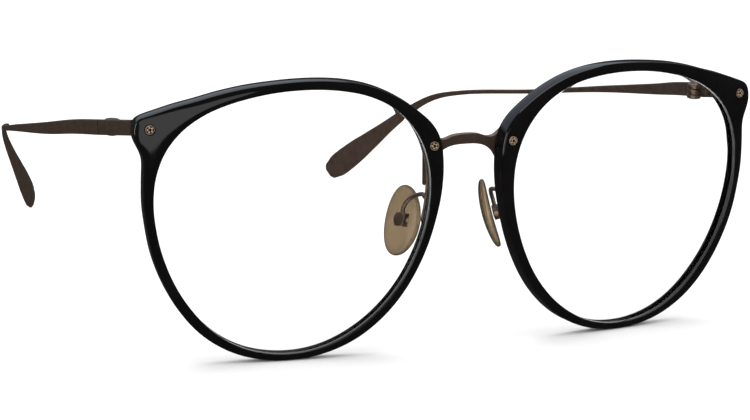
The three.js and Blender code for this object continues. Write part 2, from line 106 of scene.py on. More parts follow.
STRAP_THICKNESS = 0.9
STRAP_STEPS = 60
STRAP_ROUND_END = 4
STRAP_FRONT_BEVEL = 0.15
STRAP_BACK_BEVEL = 0.2
STRAP_LEAST_WIDTH = 0.3
STRAP_END_WIDTH = 0.05
# Stretches of rim with metal behind them: directions in degrees, and the metal's edges as distances
# inside the rim's outer edge and outside its opening.
WING_PLATE = {"start": 14, "end": 52, "outer": 0.5, "inner": 1}
NOSE_PLATE = {"start": 126, "end": 184, "outer": 0.9, "inner": 0.1}
BRIDGE_THICKNESS = 1.3
BRIDGE_BACK = 4.35
BRIDGE_ROUND = 0.28
BRIDGE_STEPS = 120
# Half of the bar's lower and upper edges, from the middle to the plate behind the rim.
BRIDGE_LOW = [(0, 12.95), (2.6, 12.8), (4.3, 12.25), (5.8, 11.1), (6.9, 9.2), (7.6, 6.9), (8.3, 5.4)]
BRIDGE_HIGH = [(0, 15), (2.6, 14.8), (4.6, 14.2), (5.9, 14.4), (7, 15.2), (7.9, 16.1), (8.8, 17.2)]

HINGE = Vector((62.6, 26, 14.75))
BLADE_START = Vector((64.85, 26, 14.8))
BLADE_DIRECTION = Vector((0.095, 1, -0.22)).normalized()
BLADE_THICKNESS = 1.2
BLADE_HEIGHT = 2.95
BLADE_SQUARENESS = 0.45
BLADE_SIDES = 40
TIP_THICKNESS = 0.9
ENDPIECE_LENGTH = 14.4
ENDPIECE_STEPS = 24
BARREL_RADIUS = 1.4
BARREL_HEIGHT = 2.9
EYE_HEIGHT = 1.0
LEAF_THICKNESS = 0.6
LEAF_HEIGHT = 2.0
# Each leaf has a narrow tongue beside the barrel and a wide part past it: distances from the seam.
TONGUE_START = 0.5
FORK_TONGUE_END = 1.7
EYE_TONGUE_END = 3.4
FORK_LEAF_START = 1.55
EYE_LEAF_START = 1.6
LEAF_END = 3.9
HINGE_PIN_RADIUS = 0.55
HINGE_PIN_DROP = 0.1
HINGE_HEAD_RADIUS = 0.9
HINGE_HEAD_LOW = 0.16
HINGE_HEAD_HIGH = 0.05
# The middle of the left blade from behind the hinge to the tip, and its height against its length.
TEMPLE_LINE = [
    (66, 38, 12.2), (67.4, 49, 9.45), (66.4, 71.8, 4.1), (61.8, 94.7, -1.6), (54.6, 115.5, -6.4),
    (51.9, 126, -10.1), (49.1, 132.3, -14.6), (43.2, 141.2, -24), (37.3, 149.8, -33.3),
]
TEMPLE_HEIGHTS = [
    (0, 2.95), (0.1, 2.75), (0.2, 2.2), (0.3, 1.6), (0.45, 1.05), (0.6, 0.95), (0.72, 1.25),
    (0.82, 2.4), (0.9, 4.4), (0.94, 5.4), (0.965, 5.6), (0.985, 4.8), (1, 2.3),
]
TEMPLE_LIFT = {"left": math.radians(0.8), "right": 0}
TEMPLE_SAMPLES = 400
TEMPLE_STEPS = 260

PAD_CENTRE = Vector((9.61, 10.38, -3.12))
PAD_AXIS = Vector((-0.234, 0.204, 0.95)).normalized()
PAD_NORMAL = Vector((0.88, -0.33, 0.287)).normalized()
PAD_LENGTH = 13.7
PAD_WIDTH = 8.6
PAD_TAPER = 0.03
PAD_THICKNESS = 2
PAD_FULLNESS = 0.6
PAD_BOW = 0.65
PAD_ROUNDS = 28
PAD_SIDES = 64
# Depths from the pad's middle towards the rim: where its bowed back ends and the button starts.
PAD_BACK = PAD_THICKNESS / 2 - PAD_BOW + 0.1
BOX_PLACE = (-1.3, 0.1)
BOX_HEIGHT = 2.6
BOX_FRONT = 0.5
BOX_BACK = 1.75
BOX_EDGE = 0.12
BOX_COVER = 0.35
BOX_COVER_RADIUS = 1.35
BOX_COVER_SINK = 0.05
CHEEK_THICKNESS = 0.5
LUG_WIDTH = 1.1
LUG_HEIGHT = 1
LUG_PAST_PIN = 0.5
LUG_FOOT = 0.1
BUTTON_RADIUS = 0.65
BUTTON_THICKNESS = 0.2
BUTTON_EDGE = 0.05
PAD_PIN_DEPTH = 0.95
PAD_PIN_RADIUS = 0.25
PAD_PIN_PAST = 0.2
PAD_HEAD_RADIUS = 0.45
PAD_HEAD_NEAR = 0.05
PAD_HEAD_FAR = 0.42
PAD_ARM_RADIUS = 0.42
PAD_ARM_SIDES = 20
PAD_ARM_STEPS = 80
# The arm's last two points, as heights over the box.
PAD_ARM_ENDS = (1.3, -0.1)
PAD_ARM_LINE = [(8.2, 3.1, 3.2), (7.5, 6, 3), (8.6, 8.6, 1.6)]

# ---- Where the front stands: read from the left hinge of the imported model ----

fold = next(joint for joint in frame["joints"] if joint["name"] == "fold_left")
LEAN = math.atan2(-fold["axis"][1], fold["axis"][2])
LEANING = Matrix.Rotation(LEAN, 4, "X")
METRES = 0.001
FRONT = (
    Matrix.Translation(Vector(fold["pos_m"]) - LEANING @ (HINGE * METRES))
    @ LEANING @ Matrix.Scale(METRES, 4)
)
MIRROR = Matrix.Scale(-1, 4, (1, 0, 0))
SIDES = {"left": Matrix.Identity(4), "right": MIRROR}

# ---- Meshes ----

SHARP_ANGLE = math.radians(38)
# Corners are rounded with this many points: coarse ones on small parts, fine ones on rims and bar.
COARSE_CORNER = 4
FINE_CORNER = 5


def placed(name, mesh, matrix):
    """A smooth object from a mesh, with its place in its mesh."""
    mesh.transform(matrix)
    if matrix.determinant() < 0:
        mesh.flip_normals()
    mesh.shade_smooth()
    mesh.set_sharp_from_angle(angle=SHARP_ANGLE)
    piece = bpy.data.objects.new(name, mesh)
    bpy.context.scene.collection.objects.link(piece)
    return piece


def as_object(name, points, faces, matrix):
    """A smooth object from points and the faces between them."""
    mesh = bpy.data.meshes.new(name)
    mesh.from_pydata([tuple(p) for p in points], [], [tuple(f) for f in faces])
    return placed(name, mesh, matrix)


def merged(*shells):
    """Several (points, faces) shells as one."""
    points, faces = [], []
    for shell_points, shell_faces in shells:
        start = len(points)
        points += [tuple(p) for p in shell_points]
        faces += [[start + i for i in face] for face in shell_faces]
    return points, faces


def moved(shell, matrix):
    """The shell with its points put through the matrix."""
    points, faces = shell
    return [tuple(matrix @ Vector(p)) for p in points], faces


def skin(rings, closed=False, capped=True):
    """Faces between rings of equal length. A closed skin joins its last ring to its first."""
    count = len(rings[0])
    faces = []
    pairs = len(rings) if closed else len(rings) - 1
    for r in range(pairs):
        a, b = r * count, (r + 1) % len(rings) * count
        for i in range(count):
            j = (i + 1) % count
            faces.append((a + i, b + i, b + j, a + j))
    if capped and not closed:
        faces.append(list(range(count)))
        faces.append([(len(rings) - 1) * count + i for i in reversed(range(count))])
    return [p for ring in rings for p in ring], faces


def faced_out(shell):
    """The shell with its faces turned outwards."""
    points, faces = shell
    corners = [Vector(p) for p in points]
    middle = sum(corners, Vector()) / len(corners)
    volume = 0
    for face in faces:
        first = corners[face[0]] - middle
        for b, c in zip(face[1:], face[2:]):
            volume += first.dot((corners[b] - middle).cross(corners[c] - middle))
    return (points, faces) if volume > 0 else (points, [list(reversed(f)) for f in faces])


def turned(profile, sides=40):
    """A solid of revolution about Z from (radius, height) pairs that start and end on the axis."""
    angles = [2 * math.pi * i / sides for i in range(sides)]
    rings = [[(r * math.cos(a), r * math.sin(a), z) for a in angles] for r, z in profile[1:-1]]
    points, faces = skin(rings, capped=False)
    low, high = len(points), len(points) + 1
    points += [(0, 0, profile[0][1]), (0, 0, profile[-1][1])]
    last = (len(rings) - 1) * sides
    for i in range(sides):
        j = (i + 1) % sides
        faces.append((low, i, j))
        faces.append((high, last + j, last + i))
    return faced_out((points, faces))


def quarter_turn(count):
    """Equal angles from 0 to a quarter turn."""
    return [math.pi / 2 * k / (count - 1) for k in range(count)]


def disc(radius, low, high, edge=0.08):
    """A round plate about Z with softened edges."""
    turns = quarter_turn(COARSE_CORNER)
    bottom = [(radius - edge + edge * math.sin(a), low + edge - edge * math.cos(a)) for a in turns]
    top = [(radius - edge + edge * math.cos(a), high - edge + edge * math.sin(a)) for a in turns]
    return turned([(0, low), *bottom, *top, (0, high)])


def block(size, centre, edge=0.08):
    """A box with softened edges, as a stack of rounded outlines along Z."""
    half = [s / 2 for s in size]
    share = 0.98  # of the rounding that the end faces lose, so that their corners keep some width
    levels = [
        (edge * (1 - math.sin(a)) * share, edge * (1 - math.cos(a)) - half[2])
        for a in quarter_turn(COARSE_CORNER)
    ]
    levels += [(inset, -z) for inset, z in reversed(levels)]
    rings = []
    for inset, z in levels:
        ring = []
        for cx, cy, start in ((1, 1, 0), (-1, 1, 1), (-1, -1, 2), (1, -1, 3)):
            for a in quarter_turn(COARSE_CORNER):
                turn = start * math.pi / 2 + a
                x = cx * (half[0] - edge) + (edge - inset) * math.cos(turn)
                y = cy * (half[1] - edge) + (edge - inset) * math.sin(turn)
                ring.append((x, y, z))
        rings.append(ring)
    return moved(faced_out(skin(rings)), Matrix.Translation(centre))


# The knots, of four in a row, that each round of a spline's blending lies between.
BLENDS = (((0, 1), (1, 2), (2, 3)), ((0, 2), (1, 3)), ((1, 2),))


def spline(knots, count):
    """Points along a smooth curve through the knots, from the first to the last."""
    knots = np.array(knots, float)
    knots = np.vstack([2 * knots[0] - knots[1], knots, 2 * knots[-1] - knots[-2]])
    steps = np.linalg.norm(np.diff(knots, axis=0), axis=1) ** 0.5
    at = np.concatenate([[0], np.cumsum(steps)])
    points = []
    spans = len(knots) - 3
    for u in np.linspace(0, spans, count):
        s = min(int(u), spans - 1)
        t = at[s + 1] + (u - s) * (at[s + 2] - at[s + 1])
        p, k = knots[s:s + 4], at[s:s + 4]
        for blend in BLENDS:
            p = [
                (p[i] * (k[late] - t) + p[i + 1] * (t - k[early])) / (k[late] - k[early])
                for i, (early, late) in enumerate(blend)
            ]
        points.append(p[0])
    return np.array(points)


# ---- Outlines of the rims, as points at equal angles ----

ANGLES = np.arange(RIM_POINTS) * 2 * math.pi / RIM_POINTS


def rim_outline(pairs):
    """The outline through (direction, radius) pairs at equal angles, slightly smoothed."""
    turns = (-360, 0, 360)
    known = np.array([angle + turn for turn in turns for angle, _ in pairs], float)
    radii = np.array([radius for _ in turns for _, radius in pairs], float)
    slopes = np.gradient(radii, known)
    angle = np.degrees(ANGLES)
    i = np.searchsorted(known, angle, side="right") - 1
    width = known[i + 1] - known[i]
    u = (angle - known[i]) / width
    radius = (
        (1 + 2 * u) * (1 - u) ** 2 * radii[i] + u * (1 - u) ** 2 * width * slopes[i]
        + u ** 2 * (3 - 2 * u) * radii[i + 1] + u ** 2 * (u - 1) * width * slopes[i + 1]
    )
    reach = np.arange(-SMOOTHING_REACH, SMOOTHING_REACH + 1)
    weight = np.exp(-(reach / SMOOTHING_SPREAD) ** 2 / 2)
    smooth = sum(w * np.roll(radius, k) for w, k in zip(weight / weight.sum(), reach))
    return np.stack([smooth * np.cos(ANGLES), smooth * np.sin(ANGLES)], 1)


def offset(outline, distance):
    """An anticlockwise outline moved outwards by a distance."""
    along = np.roll(outline, -1, 0) - np.roll(outline, 1, 0)
    along /= np.linalg.norm(along, axis=1)[:, None]
    return outline + np.stack([along[:, 1], -along[:, 0]], 1) * distance


opening = rim_outline([(10 * i, radius) for i, radius in enumerate(OPENING_RADII)])
outside = rim_outline(OUTSIDE_RADII)


def sag(x, y):
    """How far the base sphere has fallen back at a place on the rim."""
    return BASE_RADIUS - math.sqrt(BASE_RADIUS ** 2 - x * x - y * y)


def on_sphere(x, y, depth):
    """A point of the left rim, at a depth behind its front, in the front's frame."""
    back = depth + sag(x, y)
    c, s = math.cos(FACE_FORM), math.sin(FACE_FORM)
    return (LENS_CENTRE + x * c - back * s, x * s + back * c, y)


def level(outline, depth):
    """The outline laid on the sphere at a depth."""
    return [on_sphere(x, y, depth) for x, y in outline]


def corner(outline, inwards, depth, into, to_wall=True):
    """Rings round one edge of a rim, from its flat face to its wall or back again."""
    turns = quarter_turn(FINE_CORNER)
    if not to_wall:
        turns.reverse()
    return [
        level(
            offset(outline, inwards * RIM_ROUND * (1 - math.sin(a))),
            depth + into * RIM_ROUND * (1 - math.cos(a)),
        )
        for a in turns
    ]


def face_rings(start, end, depth, crown):
    """Rings over a flat face between two of its edges, with a slight crown."""
    return [
        level(start * (1 - u) + end * u, depth - crown * 4 * u * (1 - u)) for u in (0.25, 0.5, 0.75)
    ]


def rim_shell():
    """The rim as one closed loop of rings, with the lens groove in its inner wall."""
    inner, outer = offset(opening, RIM_ROUND), offset(outside, -RIM_ROUND)
    groove = offset(opening, GROOVE_DEPTH)
    groove_back = GROOVE_FRONT + LENS_THICKNESS + 2 * LENS_GAP
    rings = [
        *corner(opening, 1, 0, 1, to_wall=False),
        *face_rings(inner, outer, 0, RIM_CROWN),
        *corner(outside, -1, 0, 1),
        *corner(outside, -1, RIM_DEPTH, -1, to_wall=False),
        *face_rings(outer, inner, RIM_DEPTH, 0),
        *corner(opening, 1, RIM_DEPTH, -1),
        level(opening, groove_back),
        level(groove, groove_back - GROOVE_SLOPE),
        level(groove, GROOVE_FRONT + GROOVE_SLOPE),
        level(opening, GROOVE_FRONT),
    ]
    return faced_out(skin(rings, closed=True))


def lens_shell():
    """The lens: its two faces as rings that shrink to the middle, and a bevelled edge."""
    edge = offset(opening, GROOVE_DEPTH - LENS_EDGE_GAP)
    rim_of_face = offset(edge, -LENS_BEVEL)
    front = GROOVE_FRONT + LENS_GAP
    back = front + LENS_THICKNESS
    rings = [
        *(level(edge * s, front) for s in LENS_RINGS),
        level(rim_of_face, front),
        level(edge, front + LENS_BEVEL_DEPTH),
        level(edge, back - LENS_BEVEL_DEPTH),
        level(rim_of_face, back),
        *(level(edge * s, back) for s in reversed(LENS_RINGS)),
    ]
    return faced_out(skin(rings))


# ---- Blades, wires and screw heads, grown by geometry nodes ----

SOCKET_KINDS = (
    (bpy.types.Material, "NodeSocketMaterial"), (int, "NodeSocketInt"), (float, "NodeSocketFloat"),
)


def new_tree(name, sockets):
    """A geometry node tree with a geometry input and output and the named inputs."""
    tree = bpy.data.node_groups.new(name, "GeometryNodeTree")
    tree.interface.new_socket("Geometry", in_out="INPUT", socket_type="NodeSocketGeometry")
    for socket, default in sockets.items():
        kind = next(kind for sort, kind in SOCKET_KINDS if isinstance(default, sort))
        made = tree.interface.new_socket(socket, in_out="INPUT", socket_type=kind)
        made.default_value = default
    tree.interface.new_socket("Geometry", in_out="OUTPUT", socket_type="NodeSocketGeometry")
    return tree


class Weaver:
    """Adds nodes to a tree and links what it is given to their inputs."""

    def __init__(self, tree):
        self.tree = tree
        self.source = self.add("NodeGroupInput")

    def add(self, kind, inputs=(), **settings):
        """A node with its settings, and its inputs linked to outputs or set to values."""
        made = self.tree.nodes.new(kind)
        for key, value in settings.items():
            setattr(made, key, value)
        for key, value in dict(inputs).items():
            socket = made.inputs[key]
            if isinstance(value, bpy.types.NodeSocket):
                self.tree.links.new(value, socket)
            else:
                socket.default_value = value
        return made

    def math(self, operation, a, b=0.0):
        """The result of an operation on one or two numbers."""
        return self.add("ShaderNodeMath", {0: a, 1: b}, operation=operation).outputs[0]

    def vector(self, operation, a, b=(0, 0, 0)):
        """The result of an operation on one or two vectors."""
        return self.add("ShaderNodeVectorMath", {0: a, 1: b}, operation=operation).outputs[0]

    def scaled(self, a, factor):
        """A vector times a number."""
        return self.add("ShaderNodeVectorMath", {0: a, "Scale": factor}, operation="SCALE").outputs[0]

    def end(self, geometry, material, selection=True):
        """Ends the tree in plain geometry with the material on the selected faces."""
        whole = self.add("GeometryNodeRealizeInstances", {"Geometry": geometry}).outputs[0]
        inputs = {"Geometry": whole, "Material": material, "Selection": selection}
        dressed = self.add("GeometryNodeSetMaterial", inputs)
        self.add("NodeGroupOutput", {"Geometry": dressed.outputs[0]})


def squared(weave, value, power):
    """A sine or cosine pushed towards its ends, for a section squarer than a circle."""
    size = weave.math("POWER", weave.math("ABSOLUTE", value), power)
    return weave.math("MULTIPLY", weave.math("SIGN", value), size)


def blade_tree(name, heights, material):
    """Sweeps a squarish section along a curve, with a height for each place along it."""
    sockets = {"Thickness": 1.0, "End Thickness": 1.0, "Squareness": 0.5, "Material": material}
    tree = new_tree(name, sockets)
    weave = Weaver(tree)
    source = weave.source.outputs
    line = weave.add("GeometryNodeCaptureAttribute", {0: source["Geometry"]}, domain="POINT")
    for kind, label in (("FLOAT", "Place"), ("VECTOR", "Centre"), ("VECTOR", "Along")):
        line.capture_items.new(kind, label)
    tree.links.new(weave.add("GeometryNodeSplineParameter").outputs["Factor"], line.inputs["Place"])
    tree.links.new(weave.add("GeometryNodeInputPosition").outputs[0], line.inputs["Centre"])
    tree.links.new(weave.add("GeometryNodeInputTangent").outputs[0], line.inputs["Along"])
    inputs = {"Resolution": BLADE_SIDES, "Radius": 1.0}
    circle = weave.add("GeometryNodeCurvePrimitiveCircle", inputs)
    ring = weave.add("GeometryNodeCaptureAttribute", {0: circle.outputs["Curve"]}, domain="POINT")
    ring.capture_items.new("VECTOR", "Section")
    tree.links.new(weave.add("GeometryNodeInputPosition").outputs[0], ring.inputs["Section"])
    tube = weave.add(
        "GeometryNodeCurveToMesh",
        {"Curve": line.outputs[0], "Profile Curve": ring.outputs[0], "Fill Caps": True},
    )
    section = weave.add("ShaderNodeSeparateXYZ", {0: ring.outputs["Section"]}).outputs
    wide = squared(weave, section[0], source["Squareness"])
    tall = squared(weave, section[1], source["Squareness"])
    shape = weave.add("ShaderNodeFloatCurve", {"Value": line.outputs["Place"]})
    points = shape.mapping.curves[0].points
    top = max(h for _, h in heights)
    for place, height in heights[1:-1]:
        points.new(place, height / top)
    points[0].location = (0, heights[0][1] / top)
    points[-1].location = (1, heights[-1][1] / top)
    shape.mapping.update()
    thick = weave.add(
        "ShaderNodeMapRange",
        {0: line.outputs["Place"], 3: source["Thickness"], 4: source["End Thickness"]},
    ).outputs[0]
    side = weave.vector("NORMALIZE", weave.vector("CROSS_PRODUCT", line.outputs["Along"], (0, 0, 1)))
    up = weave.vector("CROSS_PRODUCT", side, line.outputs["Along"])
    across = weave.scaled(side, weave.math("MULTIPLY", weave.math("MULTIPLY", wide, thick), 0.5))
    half_height = weave.math("MULTIPLY", shape.outputs[0], top / 2)
    upwards = weave.scaled(up, weave.math("MULTIPLY", tall, half_height))
    place = weave.vector("ADD", line.outputs["Centre"], weave.vector("ADD", across, upwards))
    shaped = weave.add("GeometryNodeSetPosition", {"Geometry": tube.outputs[0], "Position": place})
    weave.end(shaped.outputs[0], source["Material"])
    return tree


def wire_tree(material):
    """A round wire along a curve, with closed ends."""
    tree = new_tree("bent_wire", {"Radius": 0.4, "Material": material})
    weave = Weaver(tree)
    source = weave.source.outputs
    inputs = {"Resolution": PAD_ARM_SIDES, "Radius": source["Radius"]}
    circle = weave.add("GeometryNodeCurvePrimitiveCircle", inputs)
    inputs = {"Curve": source["Geometry"], "Profile Curve": circle.outputs["Curve"], "Fill Caps": True}
    weave.end(weave.add("GeometryNodeCurveToMesh", inputs).outputs[0], source["Material"])
    return tree


def lobed_tree(head_material):
    """Sets a ring of equal lobes in a screw head, whose floor alone keeps the material it came with; a
    dark material there is painted shade in the recess.
    """
    sockets = {"Lobes": SCREW_LOBES, "Radius": 1.0, "Material": head_material}
    tree = new_tree("lobed_screw_head", sockets)
    weave = Weaver(tree)
    source = weave.source.outputs
    reach = weave.math("MULTIPLY", source["Radius"], LOBE_RING)
    circle = weave.add("GeometryNodeMeshCircle", {"Vertices": source["Lobes"], "Radius": reach})
    size = weave.math("MULTIPLY", source["Radius"], LOBE_SIZE)
    ball = weave.add("GeometryNodeMeshIcoSphere", {"Radius": size, "Subdivisions": 3})
    lobes = weave.add(
        "GeometryNodeInstanceOnPoints",
        {"Points": circle.outputs[0], "Instance": ball.outputs[0], "Scale": LOBE_SCALE},
    )
    joined = weave.add("GeometryNodeJoinGeometry", {"Geometry": source["Geometry"]})
    tree.links.new(lobes.outputs[0], joined.inputs[0])
    position = weave.add("GeometryNodeInputPosition").outputs[0]
    height = weave.add("ShaderNodeSeparateXYZ", {0: position}).outputs["Z"]
    above_floor = weave.math("GREATER_THAN", height, SCREW_FLOOR + SCREW_FLOOR_EDGE)
    weave.end(joined.outputs[0], source["Material"], above_floor)
    return tree


def set_inputs(modifier, **values):
    """Sets a tree's inputs, given in lower case with underscores."""
    for item in modifier.node_group.interface.items_tree:
        if item.item_type == "SOCKET" and item.in_out == "INPUT":
            key = item.name.replace(" ", "_").lower()
            if key in values:
                modifier[item.identifier] = values[key]


def settled(name, source, matrix):
    """The mesh that an object's modifiers make, put in place as an object of its own."""
    bpy.context.view_layer.update()
    evaluated = source.evaluated_get(bpy.context.evaluated_depsgraph_get())
    mesh = bpy.data.meshes.new_from_object(evaluated)
    mesh.name = name
    bpy.data.objects.remove(source)
    return placed(name, mesh, matrix)


def grown(name, source, tree, matrix, **values):
    """The mesh that a tree makes from a source object, put in place."""
    modifier = source.modifiers.new("grown", "NODES")
    modifier.node_group = tree
    set_inputs(modifier, **values)
    return settled(name, source, matrix)


def curve_object(name, points):
    """An open curve through the points, for a tree to grow a piece along."""
    curve = bpy.data.curves.new(name, "CURVE")
    curve.dimensions = "3D"
    line = curve.splines.new("POLY")
    line.points.add(len(points) - 1)
    for point, place in zip(line.points, points):
        point.co = (*place, 1)
    made = bpy.data.objects.new(name, curve)
    bpy.context.scene.collection.objects.link(made)
    return made


# ---- Materials ----

# Lengthens the hairlines along Y, which the blades follow.
HAIRLINE_SCALE = (1, 0.06, 1)
BUMP_DISTANCE = 0.00002
# The stretch of the mottle over which a finish goes from its dark colour to its light one.
MOTTLE_RANGE = (0.35, 0.65)


def shader_group(name, inputs, outputs):
    """A shader node group with the named number inputs and outputs."""
    group = bpy.data.node_groups.new(name, "ShaderNodeTree")
    for socket, default in inputs.items():
        made = group.interface.new_socket(socket, in_out="INPUT", socket_type="NodeSocketFloat")
        made.default_value = default
    for socket in outputs:
        group.interface.new_socket(socket, in_out="OUTPUT", socket_type="NodeSocketFloat")
    return group


def speckle_group():
    """Fine unevenness of a finish: a soft mottle and short hairlines."""
    inputs = {"Mottle Scale": 300, "Hairline Scale": 2500}
    group = shader_group("fine_unevenness", inputs, ["Mottle", "Hairline"])
    nodes, links = group.nodes, group.links
    source = nodes.new("NodeGroupInput")
    place = nodes.new("ShaderNodeTexCoord")
    mottle = nodes.new("ShaderNodeTexNoise")
    mottle.inputs["Detail"].default_value = 4
    links.new(place.outputs["Object"], mottle.inputs["Vector"])
    links.new(source.outputs["Mottle Scale"], mottle.inputs["Scale"])
    stretch = nodes.new("ShaderNodeMapping")
    stretch.inputs["Scale"].default_value = HAIRLINE_SCALE
    links.new(place.outputs["Object"], stretch.inputs["Vector"])
    hairline = nodes.new("ShaderNodeTexNoise")
    hairline.inputs["Detail"].default_value = 3
    links.new(stretch.outputs[0], hairline.inputs["Vector"])
    links.new(source.outputs["Hairline Scale"], hairline.inputs["Scale"])
    out = nodes.new("NodeGroupOutput")
    links.new(mottle.outputs["Fac"], out.inputs["Mottle"])
    links.new(hairline.outputs["Fac"], out.inputs["Hairline"])
    return group


UNEVEN = speckle_group()


def finish(name, dark, light, rough, bump, scales, **constants):
    """A material whose colour and gloss follow the fine unevenness between two values.

    The scales are those of its mottle and its hairlines. The constants are plain shader inputs.
    """
    material = bpy.data.materials.new(name)
    material.use_nodes = True
    nodes, links = material.node_tree.nodes, material.node_tree.links
    shader = nodes["Principled BSDF"]
    for socket, value in constants.items():
        shader.inputs[socket.replace("_", " ")].default_value = value
    uneven = nodes.new("ShaderNodeGroup")
    uneven.node_tree = UNEVEN
    uneven.inputs["Mottle Scale"].default_value = scales[0]
    uneven.inputs["Hairline Scale"].default_value = scales[1]
    colour = nodes.new("ShaderNodeValToRGB")
    for stop, position, tone in zip(colour.color_ramp.elements, MOTTLE_RANGE, (dark, light)):
        stop.position = position
        stop.color = (*tone, 1)
    links.new(uneven.outputs["Mottle"], colour.inputs["Fac"])
    links.new(colour.outputs["Color"], shader.inputs["Base Color"])
    gloss = nodes.new("ShaderNodeMapRange")
    gloss.inputs["To Min"].default_value = rough[0]
    gloss.inputs["To Max"].default_value = rough[1]
    links.new(uneven.outputs["Hairline"], gloss.inputs["Value"])
    links.new(gloss.outputs["Result"], shader.inputs["Roughness"])
    if bump:
        raised = nodes.new("ShaderNodeBump")
        raised.inputs["Strength"].default_value = bump
        raised.inputs["Distance"].default_value = BUMP_DISTANCE
        links.new(uneven.outputs["Hairline"], raised.inputs["Height"])
        links.new(raised.outputs["Normal"], shader.inputs["Normal"])
    return material


def painted_edge_shade(material, edge, blend):
    """Paints shade into the colour: tints it towards the dark edge colour where the surface turns away
    from the view.
    """
    nodes, links = material.node_tree.nodes, material.node_tree.links
    base = nodes["Principled BSDF"].inputs["Base Color"]
    turning = nodes.new("ShaderNodeLayerWeight")
    turning.inputs["Blend"].default_value = blend
    tinted = nodes.new("ShaderNodeMix")
    tinted.data_type = "RGBA"
    links.new(base.links[0].from_socket, tinted.inputs["A"])
    tinted.inputs["B"].default_value = (*edge, 1)
    links.new(turning.outputs["Facing"], tinted.inputs["Factor"])
    links.new(tinted.outputs["Result"], base)


ACETATE = finish(
    "black_acetate", dark=(0.002, 0.002, 0.0022), light=(0.0035, 0.0032, 0.0035),
    rough=(0.04, 0.09), bump=0.02, scales=(120, 900),
)
BRONZE = finish(
    "dark_bronze", dark=(0.15, 0.1, 0.077), light=(0.185, 0.128, 0.098),
    rough=(0.22, 0.38), bump=0.12, scales=(900, 7000), Metallic=0.8,
)
GOLD = finish(
    "gold_screw", dark=(0.42, 0.3, 0.21), light=(0.66, 0.49, 0.35),
    rough=(0.2, 0.34), bump=0.15, scales=(1500, 6000), Metallic=0.5,
)
GLASS = finish(
    "lens_glass", dark=(0.96, 0.975, 0.97), light=(0.985, 0.99, 0.985),
    rough=(0.0, 0.01), bump=0, scales=(60, 200), Transmission_Weight=1, IOR=1.1,
)
PAD = finish(
    "smoky_pad", dark=(0.36, 0.255, 0.15), light=(0.48, 0.35, 0.215),
    rough=(0.12, 0.2), bump=0.05, scales=(120, 900), Transmission_Weight=0.75, IOR=1.4,
)
# Painted shade: a dark outline round the pad wherever its surface turns away from the view.
painted_edge_shade(PAD, edge=(0.04, 0.03, 0.02), blend=0.7)


def dress(piece, material, body, slot, *nodes):
    """Gives a piece its material and its body, and hides the imported parts it stands for.

    A piece that already has two materials keeps them. The slot is not used.
    """
    if len(piece.data.materials) < 2:
        piece.data.materials.clear()
        piece.data.materials.append(material)
    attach(piece, body)
    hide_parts(*nodes)


# ---- Rims, lenses and rim screws ----


def upright(x, y, depth):
    """The frame of a screw on the left rim: Z points out of the front face."""
    place = Matrix.Translation(on_sphere(x, y, depth))
    return place @ Matrix.Rotation(FACE_FORM, 4, "Z") @ Matrix.Rotation(math.pi / 2, 4, "X")


def rim_piece(side, matrix):
    """The rim, with a round recess for the head of each screw."""
    whole = as_object("whole_rim", *rim_shell(), Matrix.Identity(4))
    cutters = []
    for place in (OUTER_SCREW, INNER_SCREW):
        drill = moved(disc(RECESS_RADIUS, -RECESS_DEPTH, RIM_DEPTH), upright(*place, 0))
        cutters.append(as_object("drill", *drill, Matrix.Identity(4)))
        modifier = whole.modifiers.new("recess", "BOOLEAN")
        modifier.solver = "EXACT"
        modifier.object = cutters[-1]
    piece = settled(f"acetate_rim_{side}", whole, FRONT @ matrix)
    for cutter in cutters:
        bpy.data.objects.remove(cutter)
    dress(piece, ACETATE, "front", "acetate", f"rim_{side}")


def rim_screws(side, matrix):
    """The two lobed screw heads, each in its recess."""
    for which, place in (("outer", OUTER_SCREW), ("inner", INNER_SCREW)):
        name = f"{which}_rim_screw_{side}"
        head = as_object(name, *turned(SCREW_PROFILE, SCREW_SIDES), Matrix.Identity(4))
        # The head's floor keeps the black acetate: painted shade in the recess between the gold lobes.
        head.data.materials.append(ACETATE)
        piece = grown(
            name, head, LOBED, FRONT @ matrix @ upright(*place, -SCREW_STAND),
            lobes=SCREW_LOBES, radius=SCREW_HEAD_RADIUS, material=GOLD,
        )
        dress(piece, GOLD, "front", "gold", f"{which}_screw_{side}")


# ---- Metal pieces ----


def strap_shell(start, end, outer, inner):
    """A rounded strip behind the rim between two directions, with round ends."""
    edges = (offset(outside, -outer), offset(opening, inner))
    front = RIM_DEPTH + SEAM
    back = front + STRAP_THICKNESS
    rings = []
    for k in range(STRAP_STEPS + 1):
        turn = math.radians(start + (end - start) * k / STRAP_STEPS)
        near = min(k, STRAP_STEPS - k) * (end - start) / STRAP_STEPS
        share = math.sqrt(max(0.0, 1 - (1 - min(near / STRAP_ROUND_END, 1)) ** 2)) or STRAP_END_WIDTH
        pair = [
            np.array([np.interp(turn, ANGLES, edge[:, i], period=2 * math.pi) for i in (0, 1)])
            for edge in edges
        ]
        middle = (pair[0] + pair[1]) / 2
        a, b = middle + (pair[0] - middle) * share, middle + (pair[1] - middle) * share
        inset = STRAP_FRONT_BEVEL * (b - a) / max(np.linalg.norm(b - a), STRAP_LEAST_WIDTH)
        rings.append(
            [
                on_sphere(*(a + inset), front), on_sphere(*(b - inset), front),
                on_sphere(*b, front + STRAP_FRONT_BEVEL), on_sphere(*b, back - STRAP_BACK_BEVEL),
                on_sphere(*(b - inset), back), on_sphere(*(a + inset), back),
                on_sphere(*a, back - STRAP_BACK_BEVEL), on_sphere(*a, front + STRAP_FRONT_BEVEL),
            ]
        )
    return faced_out(skin(rings))


